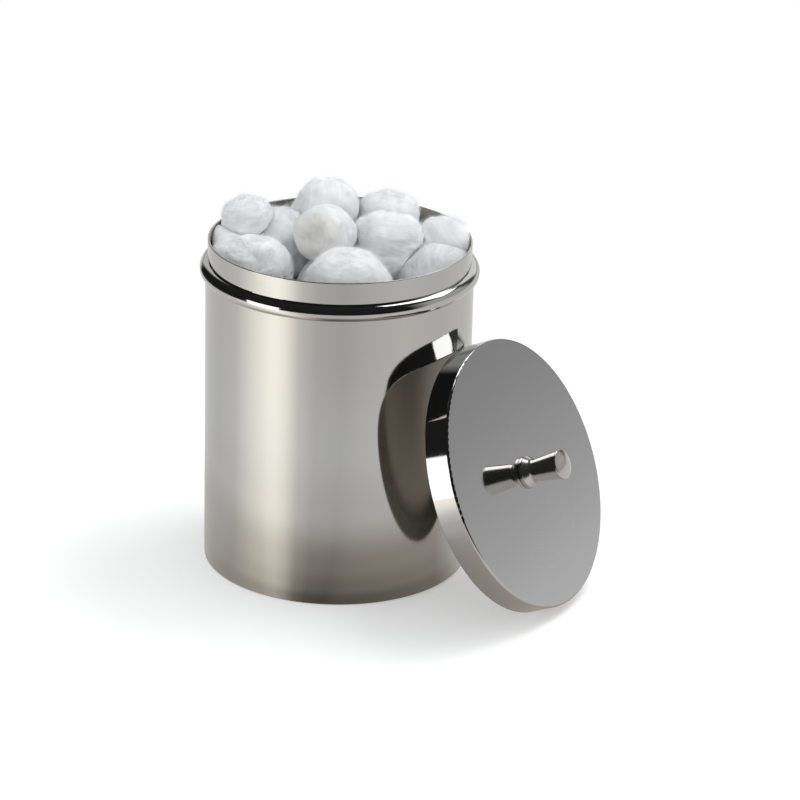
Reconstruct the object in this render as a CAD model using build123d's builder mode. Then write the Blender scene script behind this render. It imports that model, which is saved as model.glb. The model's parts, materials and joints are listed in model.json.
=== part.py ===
"""Steel dressing jar filled with cotton wads, with its lid taken off and leant on it.

Millimetres and degrees, +Z up. The origin is the centre of the jar's base, and the
lid leans on the jar's +X side, so the jar and the lid are symmetric about the XZ plane.
"""

from build123d import *
import math
import os

# Jar, drawn from one sheet
body_diameter = 100.0
jar_height = 126.8
wall = 0.7
base_corner_radius = 1.2
neck_step = 0.85
neck_height = 8.2
bead_height = 6.2
bead_bulge = 2.1
bead_root_radius = 0.9
neck_root_radius = 0.5
rim_radius = 0.25

# Lid, drawn from the same sheet
lid_clearance = 0.9
lid_depth = 10.0
lid_edge_radius = 0.8
lid_rim_radius = 0.2
lid_lean = 24.4
lean_gap = 0.3

# Knob, turned from bar
knob_length = 17.2
knob_foot_diameter = 12.0
knob_foot_height = 1.5
knob_waist_diameter = 8.4
knob_waist_height = 3.9
knob_end_diameter = 11.3
knob_dome_height = 1.2
knob_waist_radius = 2.0
knob_edge_radius = 0.4
knob_foot_chamfer = 0.3
knob_bore_depth = 11.0

# Screw and washer that hold the knob from inside the lid
screw_diameter = 4.0
screw_length = 10.0
screw_head_diameter = 7.6
screw_head_height = 2.4
screw_crown_radius = 1.2
screw_slot_width = 1.0
screw_slot_depth = 1.2
screw_tip_chamfer = 0.5
screw_play = 0.05
screw_hole_play = 0.3
washer_diameter = 10.0
washer_thickness = 0.8
washer_edge_radius = 0.2

# Cotton: the wads are balls lowered into the jar one by one, and the whole heap is then
# pressed flat until it stands this far above the rim
heap_height = 13.5
wad_gap = 0.3
wad_roundness = 0.5523
lower_layers = 4
ring_wads = 6
lower_ring_bearing = 7.9

# Upper wads in the order in which they are lowered: the name, the bearing from +X, the
# distance from the jar's axis as a share of the room inside the neck, and the width as a
# share of a lower wad's
upper_wads = [
    ("wad_front", 306.4, 0.607, 1.02),
    ("wad_left_front", 217.8, 0.672, 0.815),
    ("wad_right_front", 21.9, 0.767, 0.702),
    ("wad_left_inner", 161.4, 0.676, 0.690),
    ("wad_under_back", 108.9, 0.718, 0.502),
    ("wad_under_right", 56.7, 0.846, 0.408),
    ("wad_right", 55.1, 0.801, 0.589),
    ("wad_centre_right", 46.6, 0.375, 0.721),
    ("wad_centre", 193.9, 0.119, 0.702),
    ("wad_left", 185.6, 0.788, 0.608),
    ("wad_back_right", 87.8, 0.703, 0.658),
    ("wad_back", 129.4, 0.560, 0.715),
]

# Sizes that follow from the ones above
body_radius = body_diameter / 2
neck_radius = body_radius - neck_step
bead_top = jar_height - neck_height
bead_bottom = bead_top - bead_height
bead_middle = bead_bottom + bead_height / 2
bead_radius = body_radius + bead_bulge
lid_inner_radius = neck_radius + lid_clearance
lid_radius = lid_inner_radius + wall
wad_reach = neck_radius - wall - wad_gap

# The lid stands on the lowest point of its open edge, and the highest point of that edge
# leans on the jar. Its own axis points from the open side to the knob. Both points lie
# further in by what the rounding takes off the edge.
lean = math.radians(lid_lean)
lid_out = Vector(math.cos(lean), 0, math.sin(lean))
lid_up = Vector(-math.sin(lean), 0, math.cos(lean))
rounded_off = lid_rim_radius * (math.sin(lean) + math.cos(lean) - 1)
lid_centre = Vector(
    body_radius + lean_gap + lid_radius * math.sin(lean) - rounded_off,
    0,
    lid_radius * math.cos(lean) - rounded_off,
)
lid_axis = Axis(lid_centre, lid_out)


def lid_section(height):
    """Plane through the lid's axis: its x runs up the lid and its y along the axis."""
    return Plane(
        origin=lid_centre + lid_out * height, x_dir=lid_up, z_dir=lid_up.cross(lid_out)
    )


def lid_level(height):
    """Plane square to the lid's axis at a height above the open edge."""
    return Plane(origin=lid_centre + lid_out * height, x_dir=lid_up, z_dir=lid_out)


def finish_piece(builder, label):
    """Name a piece and write it as its own file."""
    builder.part.label = label
    export_step(builder.part, f"parts/{label}.step")


os.makedirs("parts", exist_ok=True)

# Jar body: base, straight wall, rolled bead that the lid stops on, and plain neck
with BuildPart() as jar_body:
    with BuildSketch(Plane.XZ) as half_outline:
        with BuildLine():
            Polyline((neck_radius, bead_top), (neck_radius, jar_height), (0, jar_height))
            Polyline((0, jar_height), (0, 0), (body_radius, 0), (body_radius, bead_bottom))
            ThreePointArc(
                (body_radius, bead_bottom), (bead_radius, bead_middle), (neck_radius, bead_top)
            )
        make_face()
        corners = half_outline.vertices().sort_by(Axis.Y)
        base_corner = corners[:2].sort_by(Axis.X)[-1]
        bead_root, neck_root = corners[2:4]
        fillet(base_corner, radius=base_corner_radius)
        fillet(bead_root, radius=bead_root_radius)
        fillet(neck_root, radius=neck_root_radius)
    revolve(axis=Axis.Z)
    rim_face = jar_body.faces().sort_by(Axis.Z)[-1]
    offset(amount=-wall, openings=rim_face)
    rim_edges = jar_body.faces().sort_by(Axis.Z)[-1].edges()
    fillet(rim_edges, radius=rim_radius)
finish_piece(jar_body, "jar_body")

# Lid cover: flat top with a rounded edge and a plain skirt
with BuildPart() as lid_cover:
    with BuildSketch(lid_level(0)):
        Circle(lid_radius)
    extrude(amount=lid_depth)
    top_face = lid_cover.faces().sort_by(lid_axis)[-1]
    fillet(top_face.edges(), radius=lid_edge_radius)
    open_face = lid_cover.faces().sort_by(lid_axis)[0]
    offset(amount=-wall, openings=open_face)
    open_edges = lid_cover.faces().sort_by(lid_axis)[0].edges()
    fillet(open_edges, radius=lid_rim_radius)
    with Locations(lid_level(lid_depth)):
        Hole(radius=screw_diameter / 2 + screw_hole_play, depth=2 * wall)
finish_piece(lid_cover, "lid_cover")

# Knob: foot on the lid, waist, flared grip and domed end, with a blind hole for the screw
foot_radius = knob_foot_diameter / 2
waist_radius = knob_waist_diameter / 2
end_radius = knob_end_diameter / 2
dome_start = knob_length - knob_dome_height
with BuildPart() as lid_knob:
    with BuildSketch(lid_section(lid_depth)):
        with BuildLine():
            Polyline(
                (0, knob_length),
                (0, 0),
                (foot_radius, 0),
                (foot_radius, knob_foot_height),
                (waist_radius, knob_waist_height),
                (end_radius, dome_start),
            )
            TangentArc((0, knob_length), (end_radius, dome_start), tangent=(1, 0))
        make_face()
    revolve(axis=lid_axis)
    turned_edges = lid_knob.edges().filter_by(lambda edge: edge.is_closed)
    foot_edge, shoulder_edge, waist_edge, end_edge = turned_edges.sort_by(lid_axis)
    fillet(waist_edge, radius=knob_waist_radius)
    fillet([shoulder_edge, end_edge], radius=knob_edge_radius)
    chamfer(foot_edge, length=knob_foot_chamfer)
    with BuildSketch(lid_level(lid_depth)):
        Circle(screw_diameter / 2 + screw_play)
    extrude(amount=knob_bore_depth, mode=Mode.SUBTRACT)
finish_piece(lid_knob, "lid_knob")

# Washer inside the lid
washer_top = lid_depth - wall
washer_bottom = washer_top - washer_thickness
with BuildPart() as knob_washer:
    with BuildSketch(lid_level(washer_bottom)):
        Circle(washer_diameter / 2)
        Circle(screw_diameter / 2 + screw_hole_play, mode=Mode.SUBTRACT)
    extrude(amount=washer_thickness)
    outer_edges = knob_washer.edges().filter_by(GeomType.CIRCLE).sort_by(SortBy.LENGTH)[-2:]
    fillet(outer_edges, radius=washer_edge_radius)
finish_piece(knob_washer, "knob_washer")

# Screw: slotted pan head under the washer, and a shank up into the knob
head_base = washer_bottom - screw_head_height
with BuildPart() as knob_screw:
    with BuildSketch(lid_level(head_base)):
        Circle(screw_head_diameter / 2)
    extrude(amount=screw_head_height)
    crown_edge = knob_screw.edges().sort_by(lid_axis)[0]
    fillet(crown_edge, radius=screw_crown_radius)
    with BuildSketch(lid_level(head_base)):
        Rectangle(screw_slot_width, 2 * screw_head_diameter)
    extrude(amount=screw_slot_depth, mode=Mode.SUBTRACT)
    with BuildSketch(lid_level(washer_bottom)):
        Circle(screw_diameter / 2)
    extrude(amount=screw_length)
    tip_edge = knob_screw.edges().sort_by(lid_axis)[-1]
    chamfer(tip_edge, length=screw_tip_chamfer)
finish_piece(knob_screw, "knob_screw")


# Cotton wads in the jar as (label, x, y, height of the ball's centre over the floor, width)
balls_in_jar = []


def lower_ball(label, bearing, from_axis, width):
    """Lower one ball straight down at a bearing and a distance from the jar's axis.

    It stops on the floor or, if it meets a ball that is in the jar, where the two centres
    are half of both widths and the gap apart.
    """
    x = from_axis * math.cos(math.radians(bearing))
    y = from_axis * math.sin(math.radians(bearing))
    heights = [width / 2]
    for _, other_x, other_y, other_height, other_width in balls_in_jar:
        reach = (width + other_width) / 2 + wad_gap
        apart = math.hypot(x - other_x, y - other_y)
        if apart < reach:
            heights.append(other_height + math.sqrt(reach**2 - apart**2))
    balls_in_jar.append((label, x, y, max(heights), width))


# Lower wads: one in the middle of each layer and a ring round it, turned half a step each.
# The balls of a ring touch the jar and each other but for the gap.
half_step = math.pi / ring_wads
ring_share = math.sin(half_step)
lower_wad_width = (2 * wad_reach * ring_share - wad_gap) / (1 + ring_share)
ring_radius = wad_reach - lower_wad_width / 2
for layer in range(lower_layers):
    first_bearing = lower_ring_bearing + (layer % 2) * math.degrees(half_step)
    for place in range(ring_wads):
        bearing = first_bearing + place * math.degrees(2 * half_step)
        label = f"wad_layer_{layer + 1}_ring_{place + 1}"
        lower_ball(label, bearing, ring_radius, lower_wad_width)
    lower_ball(f"wad_layer_{layer + 1}_middle", 0, 0, lower_wad_width)

for label, bearing, distance_share, width_share in upper_wads:
    lower_ball(label, bearing, distance_share * wad_reach, width_share * lower_wad_width)

# Press the heap flat, and make each wad. Its side is a quarter round below and the same
# above, and the handles of that curve reach the wad's roundness along its two radii.
floor = wall + wad_gap
heap_top = max(height + width / 2 for _, _, _, height, width in balls_in_jar)
flatness = (jar_height + heap_height - floor) / heap_top
for label, x, y, height, width in balls_in_jar:
    centre = Vector(x, y, floor + flatness * height)
    half_width = width / 2
    half_height = flatness * half_width
    with BuildPart() as wad:
        with BuildSketch(Plane(origin=centre, x_dir=(1, 0, 0), z_dir=(0, -1, 0))):
            with BuildLine():
                lower_side = Bezier(
                    (0, -half_height),
                    (wad_roundness * half_width, -half_height),
                    (half_width, -wad_roundness * half_height),
                    (half_width, 0),
                )
                mirror(lower_side, about=Plane.XZ)
                Line((0, half_height), (0, -half_height))
            make_face()
        revolve(axis=Axis(centre, (0, 0, 1)))
    finish_piece(wad, label)
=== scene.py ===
"""Looks of the steel dressing jar, the lid that leans on it and its cotton wads.

Metres, +Z up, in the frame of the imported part: the jar stands on the origin and the lid
leans on its +X side.
"""

import json
import math

import bpy
import numpy as np
from mathutils import Matrix, Vector

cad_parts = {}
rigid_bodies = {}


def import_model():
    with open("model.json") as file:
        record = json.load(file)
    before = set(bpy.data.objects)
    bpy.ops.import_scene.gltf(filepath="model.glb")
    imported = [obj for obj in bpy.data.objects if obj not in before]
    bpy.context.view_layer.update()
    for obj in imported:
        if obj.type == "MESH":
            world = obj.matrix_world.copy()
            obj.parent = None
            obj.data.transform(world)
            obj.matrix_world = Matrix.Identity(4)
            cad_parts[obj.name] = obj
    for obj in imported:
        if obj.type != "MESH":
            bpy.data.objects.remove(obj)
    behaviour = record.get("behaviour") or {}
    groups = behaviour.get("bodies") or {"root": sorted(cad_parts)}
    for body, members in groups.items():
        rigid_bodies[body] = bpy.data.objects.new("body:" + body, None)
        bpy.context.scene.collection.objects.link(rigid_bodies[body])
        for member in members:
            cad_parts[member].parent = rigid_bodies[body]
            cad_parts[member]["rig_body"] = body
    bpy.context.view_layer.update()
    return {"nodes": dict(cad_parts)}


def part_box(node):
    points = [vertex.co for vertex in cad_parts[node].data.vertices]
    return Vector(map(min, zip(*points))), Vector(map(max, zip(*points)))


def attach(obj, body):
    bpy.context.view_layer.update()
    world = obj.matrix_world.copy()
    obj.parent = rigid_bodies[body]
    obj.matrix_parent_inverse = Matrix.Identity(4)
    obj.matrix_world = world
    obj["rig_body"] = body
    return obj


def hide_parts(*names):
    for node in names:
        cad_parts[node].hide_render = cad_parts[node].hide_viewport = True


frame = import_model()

# View: the camera looks from this bearing, counted from -Y, and from this elevation
camera_azimuth = 28.9
camera_elevation = 21.89
camera_distance = 1.4
camera_target_height = 0.060
camera_aim = (0.02032, 0.01205, 0.06235)
camera_roll = 1.428
lens = 166.84
sensor = 36.0

# The lid leans over by this angle
lid_lean = 24.4

# Table: its size and colour, and the white that the camera sees added to it
table_radius = 0.55
table_colour = (0.74, 0.74, 0.74, 1)
table_lift = 0.34

# Table as metal sees it, given off by the table itself with painted shade near the jar and a
# painted sheen: its plain level, how far out the painted shade and sheen are described, and the
# place, towards the camera and to its right, from which their bearings are counted
table_level = 0.66
shade_reach = 0.40
focus_ahead = 0.0344
focus_aside = -0.0073

# Studio: light from all round, and where two of the softboxes point
ambient_light = 0.80
jar_mouth = (0, 0, 0.12)
lid_side = (0.060, -0.045, 0.052)

# Satin steel inside the jar and lid: its colour, and its roughness over that of the polish
satin_tone = (0.50, 0.468, 0.43, 1)
satin_roughness = 0.30

# Cotton: wads press on each other up to this share of their two radii; lumps are this share
# of a radius wide; ridges and streaks are drawn out along the turns by these shares
contact_share = 1.3
lump_share = 0.8
tuft_width = 0.0035
ridge_narrowness = 0.22
streak_narrowness = 0.10

# Loose fibres: their number is given for a wad of this radius; their own radius; how deep
# they start; the width of shaggy places; and the share moved to the upper side
usual_radius = 0.0105
fibre_radius = 0.000016
fibre_depth = 0.00015
shaggy_width = 0.004
upper_share = 0.7


def new_node(tree, kind, inputs=None, **settings):
    """Add a shader node, set its properties, and feed its inputs.

    An input is a socket, which is linked, or a value, which is set on the node itself.
    """
    node = tree.nodes.new("ShaderNode" + kind)
    for name, value in settings.items():
        setattr(node, name, value)
    for name, value in (inputs or {}).items():
        socket = node.inputs[name]
        if isinstance(value, bpy.types.NodeSocket):
            tree.links.new(value, socket)
        else:
            socket.default_value = value
    return node


def math_node(tree, operation, first, second=0.0, third=0.0):
    """Output of a Math node."""
    inputs = {0: first, 1: second, 2: third}
    return new_node(tree, "Math", inputs, operation=operation).outputs[0]


def ramp(tree, factor, stops, interpolation="EASE"):
    """Output of a Color Ramp: each stop is a position and a grey level or a colour."""
    node = new_node(tree, "ValToRGB", {"Fac": factor})
    points = node.color_ramp
    points.interpolation = interpolation
    while len(points.elements) < len(stops):
        points.elements.new(0.5)
    for point, (position, level) in zip(points.elements, stops):
        point.position = position
        point.color = level if isinstance(level, tuple) else (level, level, level, 1)
    return node.outputs["Color"]


def camera_axes():
    """Level directions from the jar to the camera and to the camera's right."""
    turn = math.radians(camera_azimuth)
    towards = Vector((math.sin(turn), -math.cos(turn), 0))
    rightwards = Vector((math.cos(turn), math.sin(turn), 0))
    return towards, rightwards


def add_camera():
    """Camera at the photograph's angle, turned a little about its own line of sight."""
    towards, _ = camera_axes()
    rise = math.radians(camera_elevation)
    target = Vector((0, 0, camera_target_height))
    sight = math.cos(rise) * towards + math.sin(rise) * Vector((0, 0, 1))
    place = target + camera_distance * sight
    data = bpy.data.cameras.new("camera")
    data.lens = lens
    data.sensor_width = sensor
    data.clip_start = 0.05
    camera = bpy.data.objects.new("camera", data)
    level = (Vector(camera_aim) - place).to_track_quat("-Z", "Y").to_matrix().to_4x4()
    roll = Matrix.Rotation(math.radians(camera_roll), 4, "Z")
    camera.matrix_world = Matrix.Translation(place) @ level @ roll
    bpy.context.scene.collection.objects.link(camera)
    bpy.context.scene.camera = camera


def bearing_share(bearing):
    """Where a bearing, counted to the camera's right from the camera, falls on a radial ramp."""
    return (bearing / 360 + 0.5) % 1


def bearing_ramp(tree, around, levels):
    """Output of a Color Ramp over bearings, from a radial gradient."""
    stops = [(bearing_share(bearing), level) for bearing, level in levels]
    return ramp(tree, around, stops, "LINEAR")


def turned_to_camera(tree, vector, centre=(0, 0, 0)):
    """A vector in the level frame whose x runs to the camera and y to the camera's right."""
    towards, _ = camera_axes()
    turn = -math.atan2(towards.y, towards.x)
    moved = new_node(
        tree, "VectorMath", {0: vector, 1: centre}, operation="SUBTRACT"
    ).outputs[0]
    inputs = {"Vector": moved, "Axis": (0, 0, 1), "Angle": turn}
    return new_node(tree, "VectorRotate", inputs).outputs["Vector"]


def add_world():
    """White behind the object; metal sees a dark room in front and a pale sweep behind."""
    world = bpy.data.worlds.new("studio")
    bpy.context.scene.world = world
    world.use_nodes = True
    tree = world.node_tree
    tree.nodes.clear()
    direction = new_node(tree, "TexCoord").outputs["Generated"]
    level = turned_to_camera(tree, direction)
    around = new_node(tree, "TexGradient", {"Vector": level}, gradient_type="RADIAL").outputs["Fac"]
    height = new_node(tree, "SeparateXYZ", {"Vector": level}).outputs["Z"]
    risen = math_node(tree, "MULTIPLY_ADD", height, 0.5, 0.5)
    pale_bearings = [(-180, 1.0), (-158, 1.0), (-150, 0.0), (60, 0.0), (80, 1.0), (179, 1.0)]
    panel_bearings = [
        (-160, 0.66), (80, 0.50), (124, 0.50), (132, 0.08), (143, 0.08), (150, 0.95), (179, 0.90)
    ]
    sweep_levels = [
        (0.0, 0.68), (0.508, 0.72), (0.5155, 0.58), (0.524, 0.49), (0.533, 0.395),
        (0.545, 0.34), (0.56, 0.0),
    ]
    panel_levels = [(0.545, 0.0), (0.57, 1.0), (0.75, 1.0), (0.85, 0.05)]
    room_levels = [(0.0, 0.05), (0.45, 0.03), (0.51, 0.012), (1.0, 0.02)]
    behind = bearing_ramp(tree, around, pale_bearings)
    panels = math_node(
        tree,
        "MULTIPLY",
        bearing_ramp(tree, around, panel_bearings),
        ramp(tree, risen, panel_levels, "LINEAR"),
    )
    pale = math_node(tree, "ADD", ramp(tree, risen, sweep_levels, "LINEAR"), panels)
    room = ramp(tree, risen, room_levels, "LINEAR")
    seen_in_metal = new_node(
        tree, "Mix", {"Factor": behind, 6: room, 7: pale}, data_type="RGBA"
    ).outputs[2]
    rays = new_node(tree, "LightPath")
    ambient = new_node(
        tree, "Background", {"Color": (0.98, 0.99, 1.0, 1), "Strength": ambient_light}
    )
    studio = new_node(tree, "Background", {"Color": seen_in_metal, "Strength": 1.0})
    white = new_node(tree, "Background", {"Color": (1, 1, 1, 1), "Strength": 1.0})
    metal = new_node(
        tree,
        "MixShader",
        {0: rays.outputs["Is Glossy Ray"], 1: ambient.outputs[0], 2: studio.outputs[0]},
    )
    shown = new_node(
        tree,
        "MixShader",
        {0: rays.outputs["Is Camera Ray"], 1: metal.outputs[0], 2: white.outputs[0]},
    )
    new_node(tree, "OutputWorld", {"Surface": shown.outputs[0]})


def table_material():
    """Pale table, white to the camera but for shadows.

    Metal sees it as light that it gives off itself: painted shade close to the jar, and a painted
    warm sheen on one side.
    """
    material = bpy.data.materials.new("table")
    material.use_nodes = True
    tree = material.node_tree
    tree.nodes.clear()
    place = new_node(tree, "TexCoord").outputs["Object"]
    away = new_node(tree, "VectorMath", {0: place}, operation="LENGTH").outputs["Value"]
    distance = math_node(tree, "DIVIDE", away, shade_reach)
    # Painted shade: in metal the table is darker close to the jar, as if the jar shaded it
    painted_shade_stops = [
        (0.055, 0.50), (0.065, 0.42), (0.085, 0.34), (0.135, 0.06), (0.195, 0.0), (0.320, 0.06)
    ]
    dark = ramp(tree, distance, [(at / shade_reach, level) for at, level in painted_shade_stops])
    # Painted sheen, by distance from the jar
    painted_sheen_stops = [(0.055, 0.45), (0.065, 0.60), (0.085, 0.68), (0.135, 0.82), (0.320, 1.0)]
    near = ramp(tree, distance, [(at / shade_reach, level) for at, level in painted_sheen_stops])
    towards, rightwards = camera_axes()
    focus = focus_ahead * towards + focus_aside * rightwards
    level = turned_to_camera(tree, place, tuple(focus))
    around = new_node(tree, "TexGradient", {"Vector": level}, gradient_type="RADIAL").outputs["Fac"]
    # Painted sheen of a softbox on the table, by bearing
    painted_sheen_bearings = [
        (-180, 0.08), (-122, 0.06), (-98, 0.17), (-78, 0.62), (-62, 0.95), (-55, 1.0),
        (-46, 0.80), (-33, 0.26), (-18, 0.06), (6, 0.0), (25, 0.08), (60, 0.16), (100, 0.08),
    ]
    painted_sheen_strength = math_node(tree, "MULTIPLY", bearing_ramp(tree, around, painted_sheen_bearings), near)
    # Painted shade is deeper on these bearings, and warmer in colour where it is deeper
    painted_shade_bearings = [
        (-180, 0.3), (-125, 0.3), (-100, 0.6), (-70, 1.0), (-30, 1.1), (60, 1.15), (94, 0.9),
        (112, 0.25), (179, 0.25),
    ]
    painted_shade_depth = math_node(tree, "MULTIPLY", dark, bearing_ramp(tree, around, painted_shade_bearings))
    shade = math_node(tree, "SUBTRACT", table_level, painted_shade_depth)
    tone = ramp(tree, painted_shade_depth, [(0.0, (1, 1, 1, 1)), (0.45, (1, 0.87, 0.76, 1))], "LINEAR")
    rays = new_node(tree, "LightPath")
    # Metal sees emission only: the plain level less the painted shade, plus the painted warm sheen
    plain = new_node(tree, "Emission", {"Color": tone, "Strength": shade})
    warm = new_node(tree, "Emission", {"Color": (1, 0.94, 0.81, 1), "Strength": painted_sheen_strength})
    in_metal = new_node(tree, "AddShader", {0: plain.outputs[0], 1: warm.outputs[0]})
    lift = math_node(tree, "MULTIPLY", rays.outputs["Is Camera Ray"], table_lift)
    lifted = new_node(tree, "Emission", {"Color": (1, 1, 1, 1), "Strength": lift})
    surface = new_node(tree, "BsdfDiffuse", {"Color": table_colour})
    lit = new_node(tree, "AddShader", {0: surface.outputs[0], 1: lifted.outputs[0]})
    seen = new_node(
        tree,
        "MixShader",
        {0: rays.outputs["Is Glossy Ray"], 1: lit.outputs[0], 2: in_metal.outputs[0]},
    )
    to_edge = new_node(
        tree,
        "MapRange",
        {"Value": away, "From Min": 0.25 * table_radius, "From Max": 0.6 * table_radius},
        interpolation_type="SMOOTHSTEP",
    ).outputs["Result"]
    fade = math_node(tree, "MULTIPLY", to_edge, rays.outputs["Is Camera Ray"])
    white = new_node(tree, "Emission", {"Color": (1, 1, 1, 1), "Strength": 1.0})
    shown = new_node(tree, "MixShader", {0: fade, 1: seen.outputs[0], 2: white.outputs[0]})
    new_node(tree, "OutputMaterial", {"Surface": shown.outputs[0]})
    return material


def add_table():
    """Round table top under the jar."""
    steps = 128
    turn = np.linspace(0, 2 * np.pi, steps, endpoint=False)
    ring = np.column_stack([np.cos(turn), np.sin(turn), np.zeros(steps)]) * table_radius
    mesh = bpy.data.meshes.new("table")
    mesh.from_pydata(ring.tolist(), [], [list(range(steps))])
    mesh.materials.append(table_material())
    table = bpy.data.objects.new("table", mesh)
    bpy.context.scene.collection.objects.link(table)


def add_softbox(name, bearing, elevation, distance, width, height, radiance, target, in_metal):
    """Area lamp on a bearing from the camera's, facing the target; it has a flat brightness."""
    towards, rightwards = camera_axes()
    turn, rise = math.radians(bearing), math.radians(elevation)
    level = math.cos(turn) * towards + math.sin(turn) * rightwards
    aim = Vector(target)
    place = aim + distance * (math.cos(rise) * level + math.sin(rise) * Vector((0, 0, 1)))
    data = bpy.data.lights.new(name, "AREA")
    data.shape = "RECTANGLE"
    data.size = width
    data.size_y = height
    data.energy = radiance * math.pi * width * height
    lamp = bpy.data.objects.new(name, data)
    lamp.matrix_world = (
        Matrix.Translation(place) @ (aim - place).to_track_quat("-Z", "Y").to_matrix().to_4x4()
    )
    lamp.visible_camera = False
    lamp.visible_glossy = in_metal
    bpy.context.scene.collection.objects.link(lamp)


def steel(name, colour, roughness, tilt=0.0, centre=(0, 0, 0), satin_inside=False):
    """Polished steel with fine turning lines about its own axis, faint smears and pits.

    It can be satin and a little browner inside, where it faces its own axis or downwards.
    """
    material = bpy.data.materials.new(name)
    material.use_nodes = True
    tree = material.node_tree
    tree.nodes.clear()
    place = new_node(tree, "TexCoord").outputs["Object"]
    moved = new_node(
        tree, "VectorMath", {0: place, 1: centre}, operation="SUBTRACT"
    ).outputs[0]
    inputs = {"Vector": moved, "Axis": (0, 1, 0), "Angle": -tilt}
    square = new_node(tree, "VectorRotate", inputs).outputs["Vector"]
    finish = new_node(tree, "Group", node_tree=polish_group())
    tree.links.new(square, finish.inputs["Vector"])
    finish.inputs["Colour"].default_value = colour
    finish.inputs["Roughness"].default_value = roughness
    bump = new_node(
        tree, "Bump", {"Strength": 0.25, "Distance": 0.00002, "Height": finish.outputs["Height"]}
    )
    tone, gloss = finish.outputs["Colour"], finish.outputs["Roughness"]
    if satin_inside:
        outward = new_node(
            tree, "VectorMath", {0: square, 1: (1, 1, 0)}, operation="MULTIPLY"
        ).outputs[0]
        inputs = {
            "Vector": new_node(tree, "NewGeometry").outputs["Normal"],
            "Axis": (0, 1, 0),
            "Angle": -tilt,
        }
        facing = new_node(tree, "VectorRotate", inputs).outputs["Vector"]
        faces_out = new_node(
            tree, "VectorMath", {0: outward, 1: facing}, operation="DOT_PRODUCT"
        ).outputs["Value"]
        facing_up = new_node(tree, "SeparateXYZ", {"Vector": facing}).outputs["Z"]
        inward = math_node(tree, "LESS_THAN", faces_out, -0.02)
        downward = math_node(tree, "LESS_THAN", facing_up, -0.7)
        inside = math_node(tree, "MAXIMUM", inward, downward)
        gloss = math_node(tree, "MULTIPLY_ADD", inside, satin_roughness, gloss)
        tone = new_node(
            tree, "Mix", {"Factor": inside, 6: tone, 7: satin_tone}, data_type="RGBA"
        ).outputs[2]
    shader = new_node(
        tree,
        "BsdfPrincipled",
        {
            "Base Color": tone,
            "Metallic": 1.0,
            "Roughness": gloss,
            "Normal": bump.outputs["Normal"],
        },
    )
    new_node(tree, "OutputMaterial", {"Surface": shader.outputs[0]})
    return material


def polish_group():
    """Turning lines about Z, smears and pits, as a colour, a roughness and a height."""
    found = bpy.data.node_groups.get("steel polish")
    if found:
        return found
    group = bpy.data.node_groups.new("steel polish", "ShaderNodeTree")
    sockets = [
        ("Vector", "INPUT", "NodeSocketVector"),
        ("Colour", "INPUT", "NodeSocketColor"),
        ("Roughness", "INPUT", "NodeSocketFloat"),
        ("Colour", "OUTPUT", "NodeSocketColor"),
        ("Roughness", "OUTPUT", "NodeSocketFloat"),
        ("Height", "OUTPUT", "NodeSocketFloat"),
    ]
    for name, way, kind in sockets:
        group.interface.new_socket(name, in_out=way, socket_type=kind)
    given = group.nodes.new("NodeGroupInput").outputs
    result = group.nodes.new("NodeGroupOutput").inputs
    parts = new_node(group, "SeparateXYZ", {"Vector": given["Vector"]})
    across = math_node(group, "MULTIPLY", parts.outputs["X"], parts.outputs["X"])
    along = math_node(group, "MULTIPLY", parts.outputs["Y"], parts.outputs["Y"])
    radius = math_node(group, "SQRT", math_node(group, "ADD", across, along))
    profile = new_node(group, "CombineXYZ", {"X": radius, "Z": parts.outputs["Z"]})
    lines = new_node(
        group,
        "TexNoise",
        {"Vector": profile.outputs[0], "Scale": 2600.0, "Detail": 2.0, "Roughness": 0.6},
    ).outputs["Fac"]
    smear = new_node(
        group, "TexNoise", {"Vector": given["Vector"], "Scale": 38.0, "Detail": 3.0}
    ).outputs["Fac"]
    pit = new_node(group, "TexVoronoi", {"Vector": given["Vector"], "Scale": 45.0})
    pit_mask = ramp(group, pit.outputs["Distance"], [(0.0, 1.0), (0.02, 0.0)])
    smeared = ramp(group, smear, [(0.45, 0.0), (0.75, 1.0)])
    rough_lines = math_node(group, "MULTIPLY", lines, 0.03)
    rough_smear = math_node(group, "MULTIPLY", smeared, 0.02)
    roughness = math_node(group, "ADD", given["Roughness"], rough_lines)
    roughness = math_node(group, "ADD", roughness, rough_smear)
    dulled = math_node(group, "MULTIPLY", pit_mask, 0.25)
    colour = new_node(
        group,
        "Mix",
        {"Factor": dulled, 6: given["Colour"], 7: (0.16, 0.15, 0.14, 1)},
        data_type="RGBA",
    ).outputs[2]
    group.links.new(colour, result["Colour"])
    group.links.new(roughness, result["Roughness"])
    group.links.new(lines, result["Height"])
    return group


def dress(node, material):
    """Give a node of the frame its finish."""
    mesh = frame["nodes"][node].data
    mesh.materials.clear()
    mesh.materials.append(material)


def random_waves(points, wavelength, count, seed):
    """Smooth random field: the sum of sine waves in random directions, with a spread of 1."""
    chance = np.random.default_rng(seed)
    ways = chance.normal(size=(count, points.shape[-1]))
    ways /= np.linalg.norm(ways, axis=1, keepdims=True)
    lengths = wavelength * chance.uniform(0.6, 1.7, count)
    phases = chance.uniform(0, 2 * np.pi, count)
    turns = points @ (2 * np.pi * ways / lengths[:, None]).T + phases
    return np.sin(turns).sum(axis=-1) / math.sqrt(count / 2)


def camera_direction(bearing, elevation):
    """Unit direction on a bearing to the right of the camera's own, risen by an elevation."""
    towards, rightwards = camera_axes()
    turn, rise = math.radians(bearing), math.radians(elevation)
    level = math.cos(turn) * towards + math.sin(turn) * rightwards
    return np.array(math.cos(rise) * level + math.sin(rise) * Vector((0, 0, 1)))


def read_wads():
    """Centre, radius and flatness of every cotton node, each pressed ball stretched to a ball."""
    wads = {}
    for name in sorted(frame["nodes"]):
        if name.startswith("wad_"):
            low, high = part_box(name)
            centre = np.array((low + high) / 2)
            radius = (high.x - low.x) / 2
            flatness = (high.z - low.z) / (high.x - low.x)
            wads[name] = (centre / (1, 1, flatness), radius, flatness)
    return wads


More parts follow.
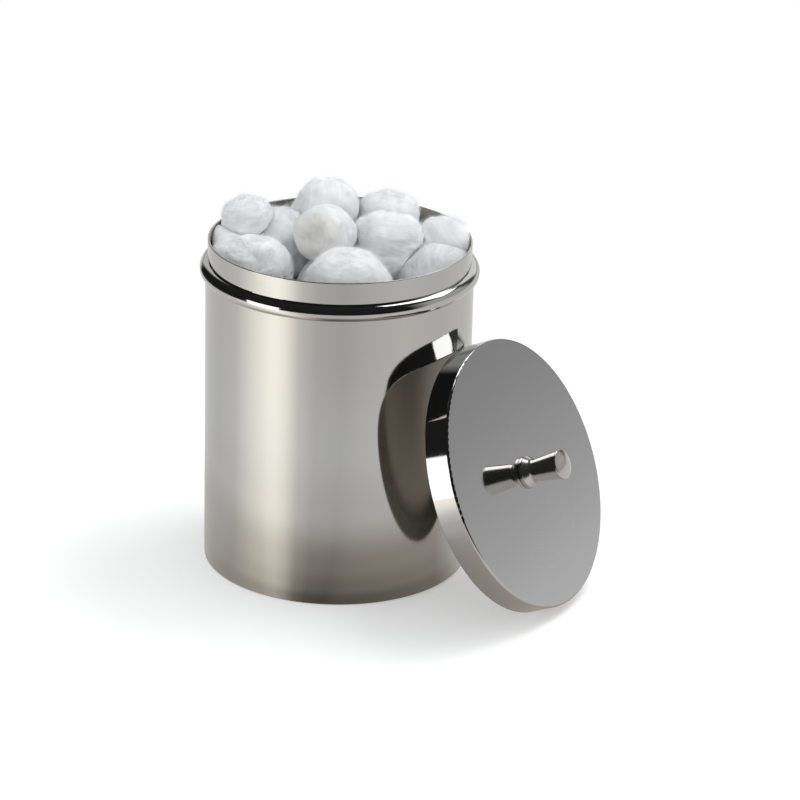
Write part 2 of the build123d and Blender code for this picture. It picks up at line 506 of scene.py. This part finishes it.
def settled(wads, looks):
    """The wads with their true sizes, each sunk or pushed aside a little as its look says."""
    towards, rightwards = camera_axes()
    lying = {}
    for name, (centre, radius, flatness) in wads.items():
        aside, ahead, up = looks[name]["shift"]
        moved = centre + np.array(aside * rightwards + ahead * towards) + (0, 0, up)
        lying[name] = (moved, radius * looks[name]["size"], flatness)
    return lying


def roll_axes(look):
    """Axis of a wad's roll, and two directions square to it."""
    axis = camera_direction(look["bearing"], look["elevation"])
    side = np.cross(axis, (0.3, 0.2, 0.93))
    side /= np.linalg.norm(side)
    return axis, side, np.cross(axis, side)


def wound_places(directions, radius, look, narrowness):
    """Places in a space in which a pattern runs round the roll in long streaks.

    The first is the way along the surface from the roll's end, and the other two are those
    round its axis, made shorter by the narrowness.
    """
    axis, side, other = roll_axes(look)
    angle = np.arccos(np.clip(directions @ axis, -1, 1))
    turn = np.arctan2(directions @ other, directions @ side)
    around = narrowness * radius
    return np.stack([angle * radius, around * np.cos(turn), around * np.sin(turn)], axis=-1)


def wad_reach(name, directions, wads, room, look):
    """Distance from a wad's centre to its surface along each unit direction.

    It is the smallest of these, smoothly joined. First, a roll: a ball pressed towards the
    two ends of its own axis, with rounded corners and lobes. Then the flat contacts half-way
    to the wads beside it, or their own surfaces past those, and the jar's wall and floor. Soft
    lumps, small tufts and shallow ridges between the turns of the roll are added to that.
    """
    centre, radius, _ = wads[name]
    axis, _, _ = roll_axes(look)
    along = directions @ axis
    out = np.sqrt(np.clip(1 - along**2, 0, 1))
    power = look["squareness"]
    roll = (out**power + (np.abs(along) / look["length"]) ** power) ** (-1 / power)
    reach = radius * roll
    for bearing, elevation, height, spread in look["lobes"]:
        near = np.clip(directions @ camera_direction(bearing, elevation), -1, 1)
        reach += height * np.exp(-((np.arccos(near) / math.radians(spread)) ** 2))
    sharpness = look["firmness"]
    total = reach**-sharpness
    for other, (other_centre, other_radius, _) in wads.items():
        gap = other_centre - centre
        apart = np.linalg.norm(gap)
        if other != name and apart < contact_share * (radius + other_radius):
            facing = directions @ (gap / apart)
            contact = (apart**2 + radius**2 - other_radius**2) / (2 * apart)
            depth = other_radius**2 - apart**2 * (1 - facing**2)
            before = apart * facing - np.sqrt(np.maximum(depth, 0))
            met = (depth > 0) & (facing > 0)
            limit = np.maximum(contact / np.maximum(facing, 1e-6), before)
            total += np.where(met, np.maximum(limit, 1e-6) ** -sharpness, 0)
    level = directions[..., :2]
    flat = np.maximum((level**2).sum(axis=-1), 1e-9)
    ahead = level @ centre[:2]
    inner_radius, floor = room
    within = inner_radius**2 - centre[:2] @ centre[:2]
    to_wall = (np.sqrt(ahead**2 + flat * within) - ahead) / flat
    total += to_wall**-sharpness
    downward = np.clip(-directions[..., 2], 0, 1)
    total += (downward / (centre[2] - floor)) ** sharpness
    reach = total ** (-1 / sharpness)
    seed = sum(name.encode())
    wound = wound_places(directions, radius, look, ridge_narrowness)
    lumps = random_waves(directions * radius, lump_share * radius, 14, seed)
    tufts = random_waves(directions * radius, tuft_width, 24, seed + 1)
    ridges = random_waves(wound, look["turn_width"], 14, seed + 2)
    reach += look["lumps"] * radius * lumps + look["tufts"] * tufts
    return reach + look["ridges"] * np.tanh(1.5 * ridges)


def wad_look(**changes):
    """The form of one wad, where it differs from the usual one.

    Size and length are shares of the node's radius, a shift is to the camera's right, towards
    it and up, and the roll's axis has a bearing and an elevation. A lobe has a bearing, an
    elevation, a height and a spread. Fibres are a number, and spacing is that of the mesh.
    """
    look = {
        "size": 1.04,
        "shift": (0, 0, 0),
        "bearing": 0,
        "elevation": 60,
        "length": 0.94,
        "squareness": 2.3,
        "firmness": 18,
        "lobes": [],
        "lumps": 0.024,
        "tufts": 0.00005,
        "ridges": 0.00007,
        "turn_width": 0.0030,
        "warmth": 0.0,
        "fibres": 13500,
        "fluff": 0.00045,
        "spacing": 0.00045,
    }
    look.update(changes)
    return look


def wad_mesh(name, wads, room, look):
    """Closed mesh of a wad: rings of points round the axis of its roll, and loose fibres."""
    centre, radius, flatness = wads[name]
    rings = int(math.pi * radius / look["spacing"])
    steps = 2 * rings
    axis, side, other = roll_axes(look)
    angle = np.linspace(0, np.pi, rings + 2)[1:-1, None, None]
    turn = np.linspace(0, 2 * np.pi, steps, endpoint=False)[None, :, None]
    grid = np.cos(angle) * axis + np.sin(angle) * (np.cos(turn) * side + np.sin(turn) * other)
    directions = np.vstack([grid.reshape(-1, 3), axis[None], -axis[None]])
    reach = wad_reach(name, directions, wads, room, look)
    points = (centre + directions * reach[:, None]) * (1, 1, flatness)
    first = np.arange(rings * steps).reshape(rings, steps)
    after = np.roll(first, -1, axis=1)
    quads = np.stack([first[:-1], first[1:], after[1:], after[:-1]], axis=-1).reshape(-1, 4)
    start, end = rings * steps, rings * steps + 1
    caps = np.vstack(
        [
            np.column_stack([np.full(steps, start), first[0], after[0]]),
            np.column_stack([np.full(steps, end), after[-1], first[-1]]),
        ]
    )
    warm = look["warmth"] * np.clip((directions @ axis - 0.35) / 0.3, 0, 1)
    hairs, hair_faces = fibre_points(name, wads, room, look, axis, points.shape[0])
    all_points = np.vstack([points, hairs])
    triangles = np.vstack([caps, hair_faces])
    mesh = bpy.data.meshes.new("cotton_" + name[4:])
    mesh.from_pydata(all_points, [], quads.tolist() + triangles.tolist())
    mesh.polygons.foreach_set("use_smooth", np.ones(len(mesh.polygons), bool))
    of_hair = np.zeros(len(mesh.polygons), np.int32)
    of_hair[len(quads) + len(caps):] = 1
    mesh.polygons.foreach_set("material_index", of_hair)
    tone = mesh.attributes.new("warmth", "FLOAT", "POINT")
    tone.data.foreach_set("value", np.concatenate([warm, np.zeros(len(hairs))]).astype(np.float32))
    streaks = wound_places(directions, radius, look, streak_narrowness)
    wound = np.vstack([streaks, hairs])
    winding = mesh.attributes.new("winding", "FLOAT_VECTOR", "POINT")
    winding.data.foreach_set("vector", wound.astype(np.float32).ravel())
    return mesh


def fibre_points(name, wads, room, look, axis, first_index):
    """Points and faces of the loose fibres: thin closed spikes of three sides.

    A fibre starts just under a random point of the surface, more often on the upper side, and
    runs along the turns of the roll and a little outwards, or astray. Some places are shaggier.
    """
    centre, radius, flatness = wads[name]
    chance = np.random.default_rng(sum(name.encode()) + 40)
    count = int(look["fibres"] * (radius / usual_radius) ** 2)
    directions = chance.normal(size=(count, 3))
    directions /= np.linalg.norm(directions, axis=1, keepdims=True)
    upper_side = chance.random(count) < upper_share
    directions[upper_side, 2] = np.abs(directions[upper_side, 2])
    reach = wad_reach(name, directions, wads, room, look) - fibre_depth
    root = (centre + directions * reach[:, None]) * (1, 1, flatness)
    around = np.cross(axis, directions) * chance.choice([-1, 1], (count, 1))
    stray = chance.normal(size=(count, 3))
    way = 0.8 * around + chance.uniform(0.1, 0.9, (count, 1)) * directions + 0.5 * stray
    way /= np.linalg.norm(way, axis=1, keepdims=True)
    seed = sum(name.encode()) + 41
    shaggy = 1 + 0.5 * random_waves(directions * radius, shaggy_width, 16, seed)
    length = 2 * look["fluff"] * np.exp(chance.normal(0.0, 0.4, (count, 1)))
    length *= np.clip(shaggy, 0.4, 1.9)[:, None]
    tip = root + way * length
    inner_radius, floor = room
    from_axis = np.hypot(tip[:, 0], tip[:, 1])
    tip[:, :2] *= np.minimum(1, inner_radius / from_axis)[:, None]
    tip[:, 2] = np.maximum(tip[:, 2], floor * flatness)
    one = np.cross(way, stray)
    one /= np.linalg.norm(one, axis=1, keepdims=True)
    two = np.cross(way, one)
    corners = [
        root + fibre_radius * (math.cos(turn) * one + math.sin(turn) * two)
        for turn in (0, 2 * math.pi / 3, 4 * math.pi / 3)
    ]
    points = np.stack(corners + [tip], axis=1).reshape(-1, 3)
    faces = np.array([(2, 1, 0), (0, 1, 3), (1, 2, 3), (2, 0, 3)])
    starts = first_index + 4 * np.arange(count)[:, None, None]
    return points, (faces[None] + starts).reshape(-1, 3)


def cotton_material(name, soft):
    """White cotton wool: fibre streaks round the roll in height, with painted shade greying their
    hollows, beige where warm.
    """
    material = bpy.data.materials.new(name)
    material.use_nodes = True
    tree = material.node_tree
    tree.nodes.clear()
    place = new_node(tree, "TexCoord").outputs["Object"]
    warmth = new_node(tree, "Attribute", attribute_name="warmth").outputs["Fac"]
    winding = new_node(tree, "Attribute", attribute_name="winding").outputs["Vector"]
    cloud = new_node(
        tree, "TexNoise", {"Vector": place, "Scale": 170.0, "Detail": 4.0, "Distortion": 0.6}
    ).outputs["Fac"]
    streaks = new_node(
        tree,
        "TexNoise",
        {"Vector": winding, "Scale": 650.0, "Detail": 5.0, "Roughness": 0.68},
    ).outputs["Fac"]
    fuzz = new_node(
        tree,
        "TexNoise",
        {"Vector": place, "Scale": 1500.0, "Detail": 3.0, "Roughness": 0.7, "Distortion": 1.5},
    ).outputs["Fac"]
    thin = ramp(tree, cloud, [(0.30, (0.92, 0.94, 0.95, 1)), (0.62, (0.95, 0.97, 0.98, 1))])
    warmed = new_node(
        tree, "Mix", {"Factor": warmth, 6: thin, 7: (0.90, 0.89, 0.85, 1)}, data_type="RGBA"
    ).outputs[2]
    # Painted shade: greyer where the streaks are low, in the hollows of the bump
    streak_hollow_shade = ramp(tree, streaks, [(0.34, 0.20), (0.54, 0.0)])
    toned = new_node(
        tree,
        "Mix",
        {"Factor": streak_hollow_shade, 6: warmed, 7: (0.55, 0.55, 0.54, 1)},
        data_type="RGBA",
    ).outputs[2]
    height = math_node(tree, "ADD", streaks, math_node(tree, "MULTIPLY", fuzz, 0.6))
    bump = new_node(tree, "Bump", {"Strength": 0.6, "Distance": 0.0005, "Height": height})
    shader = new_node(
        tree,
        "BsdfPrincipled",
        {
            "Base Color": toned,
            "Roughness": 0.95,
            "Specular IOR Level": 0.15,
            "Subsurface Weight": soft,
            "Subsurface Radius": (1.0, 1.0, 1.0),
            "Subsurface Scale": 0.006,
            "Sheen Weight": 0.2,
            "Sheen Roughness": 0.6,
            "Normal": bump.outputs["Normal"],
        },
    )
    new_node(tree, "OutputMaterial", {"Surface": shader.outputs[0]})
    return material


def add_cotton():
    """Every wad as its own piece in the place of its node."""
    wads = read_wads()
    mass = cotton_material("cotton_mass", 0.7)
    fibres = cotton_material("cotton_fibres", 0.0)
    hidden = wad_look(size=1.06, fibres=900, spacing=0.00095)
    looks = dict.fromkeys(wads, hidden)
    looks.update(
        wad_front=wad_look(
            size=1.0,
            shift=(-0.0008, 0, 0),
            elevation=78,
            length=1.0,
            squareness=2.0,
            lumps=0.014,
        ),
        wad_left_front=wad_look(
            size=1.09,
            shift=(0.0004, 0, -0.0034),
            bearing=-30,
            elevation=65,
            firmness=30,
            lobes=[(-141, 21, 0.0140, 16), (-98, 20, 0.0045, 22), (30, 55, 0.0015, 30)],
            ridges=0.00011,
        ),
        wad_right_front=wad_look(
            size=1.20,
            shift=(-0.0008, -0.0004, -0.0010),
            bearing=55,
            elevation=40,
            firmness=26,
            lobes=[(90, 10, 0.004, 30)],
            ridges=0.00010,
            fluff=0.0007,
        ),
        wad_left_inner=wad_look(
            size=1.45,
            shift=(-0.0014, 0.0055, -0.0006),
            bearing=-60,
            elevation=40,
            firmness=24,
            lobes=[(150, 40, 0.0015, 30)],
            tufts=0.00009,
            fluff=0.0007,
        ),
        wad_under_back=wad_look(size=1.25),
        wad_under_right=wad_look(size=1.25),
        wad_right=wad_look(
            size=1.44,
            shift=(0.0034, 0.0036, -0.0052),
            bearing=100,
            elevation=35,
            squareness=2.6,
            firmness=26,
            lobes=[(62, 24, 0.005, 34)],
            tufts=0.00018,
            ridges=0.00012,
            fluff=0.0006,
        ),
        wad_centre_right=wad_look(
            size=1.17,
            shift=(0.0006, 0, -0.0030),
            bearing=180,
            elevation=66,
            length=0.98,
            squareness=2.8,
            firmness=24,
            ridges=0.00014,
        ),
        wad_centre=wad_look(
            size=1.02,
            shift=(0, 0, -0.0008),
            bearing=-30,
            elevation=6,
            length=0.86,
            squareness=3.0,
            warmth=1.0,
        ),
        wad_left=wad_look(
            size=1.04,
            shift=(0, -0.0006, -0.0010),
            bearing=-60,
            elevation=78,
            length=0.94,
            squareness=2.1,
            lumps=0.012,
        ),
        wad_back_right=wad_look(
            size=1.12,
            shift=(0.0006, 0, -0.0002),
            bearing=80,
            elevation=86,
            length=0.82,
            squareness=3.0,
            lumps=0.012,
        ),
        wad_back=wad_look(
            size=1.03,
            bearing=-70,
            elevation=20,
            length=0.98,
            lobes=[(-95, -20, 0.0030, 26)],
            lumps=0.014,
        ),
    )
    inner_radius = max(np.hypot(*centre[:2]) + radius for centre, radius, _ in wads.values())
    floor = min(centre[2] - radius for centre, radius, _ in wads.values())
    lying = settled(wads, looks)
    for name in wads:
        mesh = wad_mesh(name, lying, (inner_radius, floor), looks[name])
        mesh.materials.append(mass)
        mesh.materials.append(fibres)
        wad = bpy.data.objects.new(mesh.name, mesh)
        bpy.context.scene.collection.objects.link(wad)
        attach(wad, frame["nodes"][name]["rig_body"])
        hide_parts(name)


bpy.context.scene.view_settings.view_transform = "Standard"
add_camera()
add_world()
add_table()
add_softbox("left_softbox", -70, 6.5, 0.40, 0.20, 0.186, 2.0, lid_side, True)
add_softbox("back_softbox", 121, 55, 0.7, 0.36, 0.48, 3.0, jar_mouth, True)
add_softbox("top_softbox", 95, 60, 0.8, 0.5, 0.4, 2.4, jar_mouth, False)

lid_axis_centre = tuple((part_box("lid_knob")[0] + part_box("lid_knob")[1]) / 2)
jar_steel = steel("jar_steel", (0.56, 0.56, 0.55, 1), 0.05, satin_inside=True)
lid_tilt = math.radians(90 - lid_lean)
lid_steel = steel("lid_steel", (0.56, 0.56, 0.56, 1), 0.03, lid_tilt, lid_axis_centre, True)
knob_steel = steel("knob_steel", (0.60, 0.59, 0.57, 1), 0.20, lid_tilt, lid_axis_centre)
fixing_steel = steel("fixing_steel", (0.50, 0.50, 0.50, 1), 0.22, lid_tilt, lid_axis_centre)
dress("jar_body", jar_steel)
dress("lid_cover", lid_steel)
dress("lid_knob", knob_steel)
dress("knob_washer", fixing_steel)
dress("knob_screw", fixing_steel)
add_cotton()
